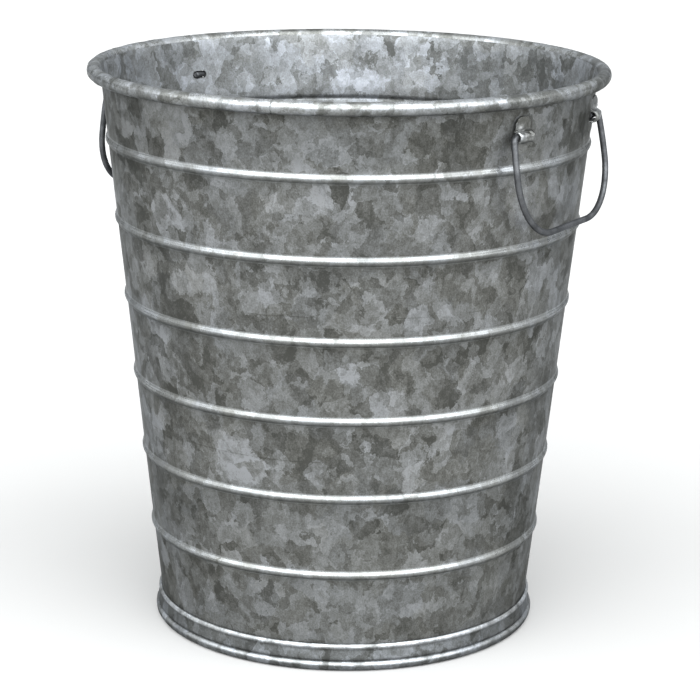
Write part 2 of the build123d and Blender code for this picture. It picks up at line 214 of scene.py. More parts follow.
# ------------------------------------------------------------------ galvanised zinc
def galvanised(name, seed, bright=1.0, contrast=1.0, cool=0.0, rough=0.40, flecks=1.0, streaks=True, bumps=0.30):
    """Hot-dip spangle: crystals 5 to 25 mm across with ragged edges, in a few grey levels."""
    t = Tree(name)
    pos = t.node("ShaderNodeTexCoord").outputs["Object"]
    p = t.vec("MULTIPLY", pos, (1000.0, 1000.0, 880.0))          # millimetres, crystals a little taller
    p = t.vec("ADD", p, (seed * 371.0, seed * -113.0, seed * 59.0))
    # ragged edges: the cell pattern is read through two sizes of warp
    w1 = t.vec("SUBTRACT", t.noise(p, 0.085, 2.0, 0.55, colour=True), (0.5, 0.5, 0.5))
    w2 = t.vec("SUBTRACT", t.noise(p, 0.42, 2.0, 0.6, colour=True), (0.5, 0.5, 0.5))
    w3 = t.vec("SUBTRACT", t.noise(p, 1.7, 1.0, 0.5, colour=True), (0.5, 0.5, 0.5))
    q = t.vec("ADD", t.vec("ADD", p, t.vec("SCALE", w1, scale=14.0)), t.vec("SCALE", w2, scale=4.4))
    q = t.vec("ADD", q, t.vec("SCALE", w3, scale=1.0))
    big = t.voronoi(q, 1 / 21.0)
    mid = t.voronoi(t.vec("ADD", q, (61.0, 13.0, 7.0)), 1 / 11.0)
    small = t.voronoi(t.vec("ADD", q, (5.0, 91.0, 33.0)), 1 / 5.6)
    br, bg, bb = t.split(big.outputs["Color"])
    mr, mg, mb = t.split(mid.outputs["Color"])
    sr, sg, sb = t.split(small.outputs["Color"])
    tone = t.math("ADD", t.math("MULTIPLY", br, 0.26), t.math("MULTIPLY", mr, 0.40))
    tone = t.math("ADD", tone, t.math("MULTIPLY", sr, 0.34))
    # dark flecks and a few pale crystals stand out from the rest
    dark = t.math("GREATER_THAN", mg, 0.80)
    pale = t.math("GREATER_THAN", sg, 0.86)
    tone = t.math("SUBTRACT", tone, t.math("MULTIPLY", dark, 0.15 * flecks))
    tone = t.math("ADD", tone, t.math("MULTIPLY", pale, 0.10 * flecks))
    # broad cloudiness and fine grain
    cloud = t.noise(p, 0.018, 2.0, 0.5)
    tone = t.math("ADD", tone, t.math("MULTIPLY", t.math("SUBTRACT", cloud, 0.5), 0.42))
    grain = t.noise(p, 1.25, 3.0, 0.75)
    tone = t.math("ADD", tone, t.math("MULTIPLY", t.math("SUBTRACT", grain, 0.5), 0.95))
    mottle = t.noise(p, 0.30, 2.0, 0.6)
    tone = t.math("ADD", tone, t.math("MULTIPLY", t.math("SUBTRACT", mottle, 0.5), 0.52))
    if streaks:
        # faint rolling marks up the sheet
        sp = t.vec("MULTIPLY", p, (1.0, 1.0, 0.06))
        tone = t.math("ADD", tone, t.math("MULTIPLY", t.math("SUBTRACT", t.noise(sp, 0.9, 2.0, 0.6), 0.5), 0.16))
        # two hairline scuffs that run level round the sheet, worn away in places
        sx, sy, sz = t.node_split(pos)
        zmm = t.math("ADD", t.math("MULTIPLY", sz, 1000.0), t.math("MULTIPLY", t.math("SUBTRACT", t.noise(p, 0.02, 2.0), 0.5), 2.4))
        for level, cut in ((193.4, 0.50), (116.0, 0.56)):
            near = t.math("ABSOLUTE", t.math("SUBTRACT", zmm, level))
            line = t.remap(near, 0.10, 0.48, 1.0, 0.0, smooth=True)
            line = t.math("MULTIPLY", line, t.remap(t.noise(t.vec("ADD", p, (level, 0, 0)), 0.024, 2.0), cut - 0.04, cut + 0.06, 0.0, 1.0))
            tone = t.math("SUBTRACT", tone, t.math("MULTIPLY", line, 0.17))
    tone = t.math("ADD", t.math("MULTIPLY", t.math("SUBTRACT", tone, 0.5), contrast), 0.5)
    b = bright
    stops = [
        (0.06, (0.061 * b, 0.062 * b, 0.058 * b)),
        (0.26, (0.093 * b, 0.094 * b, 0.089 * b)),
        (0.44, (0.131 * b, 0.133 * b, 0.129 * b)),
        (0.60, (0.172 * b, 0.176 * b, 0.174 * b)),
        (0.78, (0.221 * b, 0.226 * b, 0.227 * b)),
        (0.96, (0.278 * b, 0.284 * b, 0.289 * b)),
    ]
    colour = t.ramp(tone, stops)
    tint = t.math("ADD", t.math("MULTIPLY", bg, 0.3), t.math("ADD", t.math("MULTIPLY", mb, 0.25), t.math("MULTIPLY", tone, 0.45)))
    tint = t.remap(tint, 0.25, 0.75, 0.0, 1.0)
    warm = (1.010 - 0.4 * cool, 1.004, 0.972 + cool)
    cold = (0.988 - 0.4 * cool, 1.000, 1.018 + cool)
    colour = t.mix(1.0, colour, t.mix(tint, warm, cold), "MULTIPLY")
    # painted shade in the rings' hollows, under the roll, on the foot's band and at the ears' edges, broken up by noise
    grime = t.node("ShaderNodeAttribute", attribute_name="grime").outputs["Fac"]
    painted_shade_fac = t.math("MULTIPLY", grime, t.remap(t.noise(p, 0.22, 3.0, 0.65), 0.25, 0.65, 0.55, 1.0), clamp=True)
    colour = t.mix(painted_shade_fac, colour, t.mix(1.0, colour, (0.42, 0.42, 0.40), "MULTIPLY"))
    # painted highlight on proud edges (the foot's ridge and lower roll, the ears' knuckles and lumps), in patches
    rub = t.node("ShaderNodeAttribute", attribute_name="rub").outputs["Fac"]
    rub = t.math("MULTIPLY", rub, t.remap(t.noise(p, 0.16, 2.0, 0.55), 0.34, 0.56, 0.15, 1.0), clamp=True)
    colour = t.mix(rub, colour, t.mix(1.0, t.mix(0.5, colour, (0.17, 0.173, 0.175)), (2.6, 2.62, 2.64), "MULTIPLY"))
    # each crystal shines a little differently
    ro = t.math("ADD", t.remap(t.math("ADD", mr, sb), 0.2, 1.8, rough + 0.08, rough - 0.08),
                t.math("MULTIPLY", t.math("SUBTRACT", grain, 0.5), 0.20))
    ro = t.math("ADD", ro, t.math("MULTIPLY", painted_shade_fac, 0.15))
    ro = t.math("SUBTRACT", ro, t.math("MULTIPLY", rub, 0.06))
    if bumps <= 0.0:
        return t.finish(Base_Color=colour, Metallic=0.82, Roughness=ro, IOR=1.5, Specular_Tint=(0.34, 0.35, 0.36))
    # crystals lie at slightly different angles, and the zinc has a fine orange-peel
    tilt = t.vec("ADD", t.vec("SUBTRACT", mid.outputs["Color"], (0.5, 0.5, 0.5)),
                 t.vec("SUBTRACT", big.outputs["Color"], (0.5, 0.5, 0.5)))
    geo = t.node("ShaderNodeNewGeometry").outputs["Normal"]
    nrm = t.vec("NORMALIZE", t.vec("ADD", geo, t.vec("SCALE", tilt, scale=0.035)))
    h = t.math("ADD", t.math("MULTIPLY", t.noise(p, 0.55, 3.0, 0.6), 0.7), t.math("MULTIPLY", grain, 0.3))
    bump = t.node("ShaderNodeBump")
    bump.inputs["Strength"].default_value = bumps
    bump.inputs["Distance"].default_value = 0.00025
    t.put(bump.inputs["Height"], h)
    t.put(bump.inputs["Normal"], nrm)
    return t.finish(Base_Color=colour, Metallic=0.82, Roughness=ro, Normal=bump.outputs[0], IOR=1.5,
                    Specular_Tint=(0.34, 0.35, 0.36))


def wire_metal(name, seed):
    """Dark drawn wire, rubbed brighter in places, with a fine uneven surface."""
    t = Tree(name)
    pos = t.node("ShaderNodeTexCoord").outputs["Object"]
    p = t.vec("MULTIPLY", pos, (1000.0, 1000.0, 1000.0))
    p = t.vec("ADD", p, (seed * 41.0, seed * 19.0, seed * -7.0))
    patch = t.noise(p, 0.16, 4.0, 0.6)
    fine = t.noise(p, 1.6, 3.0, 0.6)
    tone = t.math("ADD", t.math("MULTIPLY", patch, 0.75), t.math("MULTIPLY", fine, 0.25))
    colour = t.ramp(tone, [
        (0.28, (0.040, 0.042, 0.044)),
        (0.48, (0.080, 0.083, 0.087)),
        (0.66, (0.128, 0.132, 0.138)),
        (0.85, (0.205, 0.211, 0.219)),
    ])
    ro = t.remap(tone, 0.3, 0.75, 0.50, 0.34)
    bump = t.node("ShaderNodeBump")
    bump.inputs["Strength"].default_value = 0.22
    bump.inputs["Distance"].default_value = 0.00012
    t.put(bump.inputs["Height"], t.math("ADD", t.math("MULTIPLY", t.noise(p, 0.8, 3.0, 0.6), 0.6), t.math("MULTIPLY", fine, 0.4)))
    return t.finish(Base_Color=colour, Metallic=0.80, Roughness=ro, Normal=bump.outputs[0], IOR=1.5,
                    Specular_Tint=(0.30, 0.31, 0.33))


ZINC = galvanised("zinc_body", 0.0, bright=0.95, contrast=1.04)
# the inside is a brighter copy of the zinc: painted light for the light falling into the bucket
ZINC_IN = galvanised("zinc_inside", 7.9, bright=1.30, contrast=0.95, cool=0.050, rough=0.54, streaks=False)
# the rings and the roll take brighter copies of the zinc so their highlights go white: painted highlight
ZINC_BEAD = galvanised("zinc_beads", 0.0, bright=1.60, contrast=0.5, cool=0.03, rough=0.30, bumps=0.0)
ZINC_ROLL = galvanised("zinc_roll", 2.6, bright=1.55, contrast=0.95, cool=0.03, rough=0.33, bumps=0.0)
ZINC_FOOT = galvanised("zinc_foot", 1.7, bright=1.06, contrast=1.0, cool=0.06, rough=0.39, bumps=0.28)
ZINC_PAN = galvanised("zinc_pan", 3.1, bright=1.2, cool=0.05, streaks=False)
ZINC_EAR = galvanised("zinc_ear", 5.3, bright=1.15, contrast=0.7, rough=0.36, streaks=False)
WIRE_A = wire_metal("wire_right", 0.0)
WIRE_B = wire_metal("wire_left", 1.0)


# ------------------------------------------------------------------ body
def flat_to(points, s0, s1, off, count):
    for i in range(1, count + 1):
        s = s0 + (s1 - s0) * i / count
        points.append((s, off, 0.0, 1.0, "w"))


def slope_run(off, nf, nc, slot_rows=True):
    """Beaded wall from the bottom edge to the flare: (r, z, nr, nz, kind), off the outside surface."""
    pts = [(BODY_BOTTOM / COS, off, 0.0, 1.0, "w")]
    foot, crest = BEAD_FOOT_R - off, BEAD_CREST_R + off
    here = BODY_BOTTOM / COS
    for zc in sorted(BEAD_Z):
        s = zc / COS
        lo = s - BEAD_HALF
        flat = [here, lo]
        if here < 10:
            flat = [here, 15.0 / COS, 15.9 / COS, lo]
        for a, b in zip(flat, flat[1:]):
            flat_to(pts, a, b, off, max(1, int(round((b - a) / 8.5))))
        for i in range(1, nf + 1):
            f = BEAD_T * i / nf
            pts.append((lo + foot * math.sin(f), BEAD_FOOT_R - foot * math.cos(f), -math.sin(f), math.cos(f), "b"))
        for i in range(1, nc + 1):
            f = -BEAD_T + 2 * BEAD_T * i / nc
            pts.append((s + crest * math.sin(f), BEAD_OUT - BEAD_CREST_R + crest * math.cos(f), math.sin(f), math.cos(f), "b"))
        for i in range(nf - 1, -1, -1):
            f = BEAD_T * i / nf
            pts.append((s + BEAD_HALF - foot * math.sin(f), BEAD_FOOT_R - foot * math.cos(f), math.sin(f), math.cos(f), "b"))
        here = s + BEAD_HALF
    h = HINGE_Z / COS
    marks = [here, here + 6.0, h - SLOT_HALF - 1.6, h - SLOT_HALF, h - SLOT_HALF / 2, h, h + SLOT_HALF / 2, h + SLOT_HALF,
             h + SLOT_HALF + 1.6, 293.1 / COS, 293.8 / COS, FLARE_S]
    for b in marks[1:]:
        pts.append((b, off, 0.0, 1.0, "s" if abs(b - h) < SLOT_HALF + 0.1 else "w"))
    out = []
    for s, n, ns, nn, kind in pts:
        out.append([WALL_R0 + s * SIN + n * COS, s * COS - n * SIN, ns * SIN + nn * COS, ns * COS - nn * SIN, kind, s])
    return out


def flare_run(off, count):
    """The wall's flare into the roll, from just above its start to its end."""
    q = (WALL_R0 + FLARE_S * SIN + FLARE_RHO * COS, FLARE_S * COS - FLARE_RHO * SIN)
    rho = FLARE_RHO - off
    out = []
    for i in range(1, count + 1):
        t = TILT + (T1 - TILT) * i / count
        out.append([q[0] - rho * math.cos(t), q[1] + rho * math.sin(t), math.cos(t), -math.sin(t), "f", 0.0])
    return out


def circle_run(radius, a0, a1, count, inward, skip_first=True):
    out = []
    for i in range(1 if skip_first else 0, count + 1):
        a = a0 + (a1 - a0) * i / count
        c, s = math.cos(a), math.sin(a)
        k = -1.0 if inward else 1.0
        out.append([ROLL_C[0] + radius * c, ROLL_C[1] + radius * s, k * c, k * s, "r", a])
    return out


outer = slope_run(0.0, 6, 14)
inner = slope_run(-SHEET, 3, 8)
A0 = math.pi - T1
prof = list(outer)                                     # up the outside
n_outer = len(outer)
prof += flare_run(0.0, 3)
prof += circle_run(CORE_R, A0, END_A, 12, True)        # the hidden inside of the curl
curl = circle_run(ROLL_R, END_A, A0, 46, False, skip_first=False)
prof += curl                                           # the roll one sees
fl = flare_run(-SHEET, 3)
down = [list(p) for p in reversed(fl[:-1])]
for p in down:
    p[2], p[3], p[4] = -p[2], -p[3], "g"
prof += down
inn = [list(p) for p in reversed(inner)]
for p in inn:
    p[2], p[3] = -p[2], -p[3]
    p[4] = {"w": "i", "b": "j", "s": "t"}[p[4]]
inner_start = len(prof)
prof += inn                                            # down the inside
NP = len(prof)

# azimuths: even steps, with extra columns at the slots and the seam
half_seam = math.degrees(SEAM_W / 2 / 118.0)
special = []
slot_cols = []
for mid in (0.0, 180.0):
    for side in (-1, 1):
        a, b = sorted((mid + side * SLOT_FROM, mid + side * SLOT_TO))
        cols = [a + (b - a) * i / 8 for i in range(9)]
        special.append((a - 0.6, b + 0.6))
        slot_cols.append((a % 360, b % 360))
        special[-1] = (a - 0.7, b + 0.7, [a - 0.7] + cols + [b + 0.7])
seam_k = (-1.22, -1.08, -0.98, -0.90, -0.72, -0.30, 0.18, 0.62, 0.86, 0.97, 1.03, 1.16)
special.append((SEAM_AT - 1.3 * half_seam, SEAM_AT + 1.3 * half_seam,
                [SEAM_AT + k * half_seam for k in seam_k]))
LAP_AT = -75.2 % 360
CREASE_AT = -6.8 % 360
special.append((LAP_AT - 0.6, LAP_AT + 0.6, [LAP_AT + k for k in (-0.55, -0.30, -0.12, 0.0, 0.12, 0.30, 0.55)]))
azs = []
for a, b, cols in special:
    azs += [c % 360 for c in cols]
EVEN = 208
STEP = 360 / EVEN
for i in range(EVEN):
    a = i * STEP
    if all(not (min((a - s) % 360, (s - a) % 360) < 0 or ((a - s) % 360) < ((e - s) % 360)) for s, e, _ in special):
        if min(min((a - c) % 360, (c - a) % 360) for c in azs[:60]) > 0.35:
            azs.append(a)
azs = sorted(set(round(a, 5) for a in azs))
NA = len(azs)


def seam_height(az, z):
    """How far the folded lock seam stands out at this azimuth: a rounded fold on one edge, a step on the other."""
    d = ((az - SEAM_AT + 180) % 360 - 180) / half_seam
    if abs(d) > 1.3:
        return 0.0
    xs = (-1.22, -1.08, -0.98, -0.90, -0.72, -0.30, 0.18, 0.62, 0.86, 0.97, 1.03, 1.16)
    hs = (0.0, 0.10, 0.62, 0.90, 1.06, 1.08, 1.02, 1.08, 1.04, 0.80, 0.06, 0.0)
    h = float(np.interp(d, xs, hs))
    e = min(max((z - 15.1) / 0.7, 0.0), 1.0) * min(max((293.7 - z) / 0.6, 0.0), 1.0)
    return h * e


def sway(az, z):
    """Slow unevenness of the whole sheet, in mm along the radius: rolled by hand, never quite true."""
    a = math.radians(az)
    top = z / HEIGHT
    v = 0.22 * math.sin(2 * a + 0.7) * top + 0.10 * math.sin(3 * a + 2.1)
    v += 0.16 * n1(2.2 * math.cos(a), 2.2 * math.sin(a), z / 70.0, 1.0)
    return v * min(1.0, max(0.0, (z - 16.0) / 30.0)) * min(1.0, max(0.35, (HEIGHT - z) / 30.0))


def body_point(p, az):
    r, z, nr, nz, kind, arg = p
    a = math.radians(az)
    ca, sa = math.cos(a), math.sin(a)
    d = 0.0
    if kind in "wbs":
        d += seam_height(az, z)
        d += 0.045 * n1(30 * ca, 30 * sa, z / 4.2, 2.0) if kind == "w" else 0.0
    if kind == "b":
        d += 0.07 * n1(11 * ca, 11 * sa, z / 60.0, 3.0) + 0.035 * n1(38 * ca, 38 * sa, z / 60.0, 4.0)
    if kind in "ij":
        # the joint of the seam shows inside as a shallow line beside a low ridge
        e = ((az - SEAM_AT + 180) % 360 - 180) / half_seam
        if abs(e) < 1.3:
            d += float(np.interp(e, (-1.2, -0.98, -0.9, -0.72, 0.18, 0.86, 0.97, 1.16), (0, -0.22, -0.22, 0.10, 0.12, 0.10, 0.0, 0)))
    if kind in "r":
        R = math.hypot(r - ROLL_C[0], z - ROLL_C[1])
        if R > ROLL_R - 0.3:
            u = math.radians(az) * 135.0
            d += 0.060 * n1(16 * ca, 16 * sa, arg * 0.8, 5.0) + 0.045 * n1(46 * ca, 46 * sa, arg * 1.3, 6.0)
            left = max(0.0, math.cos(math.radians(az - 215.0))) ** 2       # hand-turned part, a little ropy
            d += left * 0.15 * math.sin(az * 1.45 * 3.0 + 1.4 * arg + 2.0 * n1(8 * ca, 8 * sa, 0.0, 7.0))
            # lap of the rolled edge, and one small crease
            e = (az - LAP_AT + 180) % 360 - 180
            if abs(e) < 0.7:
                d += float(np.interp(e, (-0.55, -0.30, -0.12, 0.0, 0.12, 0.30, 0.55), (0.0, 0.03, 0.05, -0.30, -0.20, 0.0, 0.0)))
            e = (az - CREASE_AT + 180) % 360 - 180 + 1.1 * (arg - 0.8)
            if abs(e) < 2.0:
                d -= 0.22 * math.exp(-((e / 0.8) ** 2))
    rr, zz = r + nr * d, z + nz * d
    if HEIGHT - 12 < zz:
        zz = min(zz, HEIGHT + 0.05)
    rr += sway(az, z)
    return (rr * ca, rr * sa, zz)


def body_painted_shade(p, az):
    """Painted shade: each ring's lower flank and hollow and the wall just below it, the wall, flare and underside of
    the roll, the wall below z 95 and above z 270, and the grooves inside.
    """
    r, z, nr, nz, kind, arg = p
    g = 0.0
    if kind == "b":
        lean = nz * COS + nr * SIN                  # -0.7 on the lower flank, +0.7 on the upper
        s_mid = min((abs(arg - zc / COS), arg - zc / COS) for zc in BEAD_Z)[1]
        # painted shade on the ring's lower flank and hollow, which narrows the highlight above it
        g = float(np.interp(s_mid, (-3.1, -2.9, -0.55, -0.15, 0.45, 0.9, 2.3, 3.0), (0.6, 0.95, 0.95, 0.62, 0.25, 0.0, 0.0, 0.2)))
    elif kind in "ws":
        # painted shade on the wall just below each ring
        for zc in BEAD_Z:
            d = (zc - BEAD_HALF * COS) - z
            if -0.5 < d < 3.0:
                g = max(g, 0.50 * (1 - d / 3.0))
        # painted shadow on the wall under the roll
        if z > 287:
            g = max(g, 0.75 * (z - 287) / 9.0)
        # painted shade: the wall darker below z 95 and above z 270
        g = max(g, float(np.interp(z, (50.0, 92.0, 99.0, 262.0, 272.0), (0.38, 0.36, 0.05, 0.05, 0.56))))
    elif kind == "f":
        # painted shade on the flare under the roll
        g = 0.7
    elif kind == "r":
        a = (arg + math.pi) % (2 * math.pi) - math.pi
        # painted shade on the roll's underside
        g = float(np.interp(a, (-1.9, -1.1, -0.5, 0.1, 0.35), (0.95, 0.9, 0.75, 0.2, 0.0)))
    elif kind == "j":
        # painted shade in the rings' grooves inside
        g = 0.25
    return g


def in_slot_cols(j):
    """True for a column step that lies within a slot's width."""
    a = azs[j]
    b = azs[(j + 1) % NA]
    m = (a + ((b - a) % 360) / 2) % 360
    for s, e in slot_cols:
        if (m - s) % 360 < (e - s) % 360:
            return (s, e)
    return None


def slot_shift(dz, x, half_w):
    """Moves a point on the slot's square outline onto its round-ended one. x from the slot's middle."""
    r = SLOT_HALF
    ax = abs(x)
    edge = half_w
    sx = 1 if x > 0 else -1
    sz = 1 if dz > 0 else -1
    if abs(abs(dz) - r) < 1e-3:                  # on the top or bottom row
        depth = edge - ax
        k = {0: 45.0, 1: 67.5}.get(int(round(depth / (2 * half_w / 8))), None)
        if k is None:
            return x, dz
        t = math.radians(k)
        return sx * (edge - r * (1 - math.cos(t))), sz * r * math.sin(t)
    if abs(ax - edge) < 1e-3:                    # on an end column
        t = math.radians(45.0 * abs(dz) / r)
        return sx * (edge - r * (1 - math.cos(t))), sz * r * math.sin(t)
    return x, dz


def build_body():
    verts = np.zeros((NP, NA, 3))
    for i, p in enumerate(prof):
        for j, az in enumerate(azs):
            verts[i, j] = body_point(p, az)
    rows_out = [i for i in range(n_outer) if prof[i][4] == "s"]
    rows_in = [i for i in range(inner_start, NP) if prof[i][4] == "t"]
    idx = np.arange(NP * NA).reshape(NP, NA)
    h = HINGE_Z / COS
    # round the slots' outlines
    for rows in (rows_out, rows_in):
        for s, e in slot_cols:
            cols = [j for j, a in enumerate(azs) if (a - s) % 360 <= (e - s) % 360 + 1e-4 or abs((a - s + 180) % 360 - 180) < 1e-4]
            if not cols:
                continue
            m = (s + ((e - s) % 360) / 2) % 360
            for i in rows:
                r0 = prof[i][0]
                for j in cols:
                    x = math.radians((azs[j] - m + 180) % 360 - 180) * r0
                    half_w = math.radians(((e - s) % 360) / 2) * r0
                    dz = prof[i][5] - h
                    x2, dz2 = slot_shift(dz, x, half_w)
                    if (x2, dz2) != (x, dz):
                        az2 = m + math.degrees(x2 / r0)
                        p = list(prof[i])
                        p[0] += (dz2 - dz) * SIN
                        p[1] += (dz2 - dz) * COS
                        verts[i, j] = body_point(p, az2)
    faces, mats = [], []
    open_out, open_in = set(), set()
    for i in range(NP):
        i2 = (i + 1) % NP
        for j in range(NA):
            j2 = (j + 1) % NA
            if i in rows_out[:-1] and in_slot_cols(j):
                open_out.add((i, j))
                continue
            if i in rows_in[:-1] and in_slot_cols(j):
                open_in.add((i, j))
                continue
            faces.append((int(idx[i, j]), int(idx[i, j2]), int(idx[i2, j2]), int(idx[i2, j])))
            k1, k2 = prof[i][4], prof[i2][4]
            if k1 in "ijtg" or k2 in "ijtg":
                mats.append(1)
            elif k1 == "r":
                mats.append(3)
            elif k1 == "b" and k2 == "b":
                mats.append(2)
            else:
                mats.append(0)
    # the slots' walls join the outside outline to the inside one
    mate = {ro: ri for ro, ri in zip(rows_out, reversed(rows_in))}
    for i, j in open_out:
        j2 = (j + 1) % NA
        for (ia, ja), (ib, jb), (ni, nj) in (
            ((i, j), (i, j2), (i - 1, j)),
            ((i + 1, j2), (i + 1, j), (i + 1, j)),
            ((i + 1, j), (i, j), (i, (j - 1) % NA)),
            ((i, j2), (i + 1, j2), (i, j2)),
        ):
            if (ni, nj) in open_out:
                continue
            a, b = idx[ia, ja], idx[ib, jb]
            a2, b2 = idx[mate[ia], ja], idx[mate[ib], jb]
            faces.append((int(b), int(a), int(a2), int(b2))[::-1])
            mats.append(0)
    # painted shade on each vertex
    painted_shade_fac = np.array([[body_painted_shade(p, az) for az in azs] for p in prof]).reshape(-1)
    used = np.unique(np.array([v for f in faces for v in f]))
    remap = -np.ones(NP * NA, int)
    remap[used] = np.arange(len(used))
    flat = verts.reshape(-1, 3)[used]
    faces = [tuple(int(remap[v]) for v in f) for f in faces]
    return flat, faces, mats, painted_shade_fac[used]


bv, bf, bm_, bd = build_body()
body = new_mesh("bucket_body", bv.tolist(), bf, "bucket", [ZINC, ZINC_IN, ZINC_BEAD, ZINC_ROLL], 50.0, bm_)
# the painted shade goes on the body for the zinc's colour
paint(body, "grime", bd)
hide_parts("body_shell")


# ------------------------------------------------------------------ hoops and pans turned from a profile
def arc3(a, m, b, count):
    """Points on the arc through a, m, b, after a, to b."""
    (x1, y1), (x2, y2), (x3, y3) = a, m, b
    d = 2 * (x1 * (y2 - y3) + x2 * (y3 - y1) + x3 * (y1 - y2))
    ux = ((x1 * x1 + y1 * y1) * (y2 - y3) + (x2 * x2 + y2 * y2) * (y3 - y1) + (x3 * x3 + y3 * y3) * (y1 - y2)) / d
    uy = ((x1 * x1 + y1 * y1) * (x3 - x2) + (x2 * x2 + y2 * y2) * (x1 - x3) + (x3 * x3 + y3 * y3) * (x2 - x1)) / d
    r = math.hypot(x1 - ux, y1 - uy)
    t1, t2, t3 = (math.atan2(y - uy, x - ux) for x, y in (a, m, b))
    sweep = (t3 - t1) % (2 * math.pi)
    if (t2 - t1) % (2 * math.pi) > sweep:
        sweep -= 2 * math.pi
    return [(ux + r * math.cos(t1 + sweep * i / count), uy + r * math.sin(t1 + sweep * i / count)) for i in range(1, count + 1)]


def inside(z, off=0.0):
    return wall(z, -SHEET) - (FIT + off) / COS


def turned(name, loop, body_name, mats, steps=240, disp=None, angle=40.0, closed=True):
    """A ring from a closed (r, z) loop. Points on the axis are joined into one."""
    verts, faces = [], []
    n = len(loop)
    ids = []
    for r, z in loop:
        if r < 1e-6:
            ids.append([len(verts)] * steps)
            verts.append((0.0, 0.0, z))
            continue
        row = []
        for j in range(steps):
            az = 360.0 * j / steps
            a = math.radians(az)
            dr, dz = disp(r, z, az) if disp else (0.0, 0.0)
            row.append(len(verts))
            verts.append(((r + dr) * math.cos(a), (r + dr) * math.sin(a), z + dz))
        ids.append(row)
    for i in range(n):
        i2 = (i + 1) % n
        if i2 == 0 and not closed:
            break
        for j in range(steps):
            j2 = (j + 1) % steps
            f = []
            for v in (ids[i][j], ids[i][j2], ids[i2][j2], ids[i2][j]):
                if v not in f:
                    f.append(v)
            if len(f) >= 3:
                faces.append(tuple(f))
    return new_mesh(name, verts, faces, body_name, mats, angle)


def foot_loop():
    w = lambda z: wall(z, FIT)
    lip = inside(3.0, PAN_T) - 0.1
    p = [(w(1.4), 1.4), (w(5.0), 5.0), (w(9.5), 9.5), (w(13.8), 13.8)]
    p += arc3((w(13.9), 13.9), (102.35, 14.02), (102.85, 13.35), 5)
    p += arc3((102.85, 13.35), (103.14, 12.55), (102.95, 11.7), 6)
    p += arc3((102.95, 11.7), (102.78, 10.9), (102.86, 10.1), 4)
    p += [(103.03, 9.1), (103.20, 8.1), (103.38, 7.1)]
    p += [(103.55, 6.1)]
    p += arc3((103.55, 6.1), (103.42, 5.58), (102.9, 5.35), 4)
    p += [(102.9, 5.04)]
    p += arc3((102.9, 5.04), (104.52, 3.55), (104.55, 1.75), 9)
    p += arc3((104.55, 1.75), (104.0, 0.55), (103.0, 0.0), 5)
    p += [(101.5, 0.0), (100.0, 0.0), (lip - 0.1, 0.0)]
    p += arc3((lip - 0.1, 0.0), (lip - 0.6, 0.2), (lip - 0.8, 0.7), 4)
    p += [(lip - 0.8, 2.6), (lip - 0.8, 4.4), (lip - 0.70, 4.6), (lip - 0.2, 4.6), (lip - 0.1, 4.45), (lip - 0.1, 1.4)]
    return p


FOOT_LAP = 201.0


def foot_disp(r, z, az):
    if r < 101.9 or z < 0.4:
        return 0.0, 0.0
    a = math.radians(az)
    ca, sa = math.cos(a), math.sin(a)
    d = 0.05 * n1(14 * ca, 14 * sa, z / 9.0, 11.0) + 0.05 * n1(52 * ca, 52 * sa, z / 5.0, 12.0)
    dz = 0.0
    if 10.5 < z < 13.9:
        dz = 0.10 * n1(20 * ca, 20 * sa, 0.0, 13.0) + 0.06 * n1(60 * ca, 60 * sa, 0.0, 14.0)
    e = (az - FOOT_LAP + 180) % 360 - 180          # the hoop's own lap joint
    if 0 < e < 4.5:
        d += 0.28
    return d, dz


foot = turned("bucket_foot", foot_loop(), "bucket", [ZINC_FOOT], 360, foot_disp)
fr = [(math.hypot(v.co.x, v.co.y) / MM, v.co.z / MM) for v in foot.data.vertices]
# painted highlight on the foot's lower roll and top ridge
paint(foot, "rub", [float(np.interp(z, (2.9, 3.4, 4.3, 4.9, 11.6, 12.5, 13.95, 14.2), (0, 0.5, 0.5, 0, 0, 0.85, 0.85, 0.6)))
                    if r > 101.8 else 0.0 for r, z in fr])
# painted shade on the foot's band and bottom edge, and an even painted shade over its inner side
paint(foot, "grime", [float(np.interp(z, (0.0, 2.0, 2.9, 3.3, 4.8, 5.1, 5.9, 6.6, 11.0, 12.2), (0.95, 0.8, 0.6, 0.0, 0.0, 0.95, 0.95, 0.70, 0.65, 0.0)))
                      if r > 101.8 else 0.4 for r, z in fr])
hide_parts("foot_band")


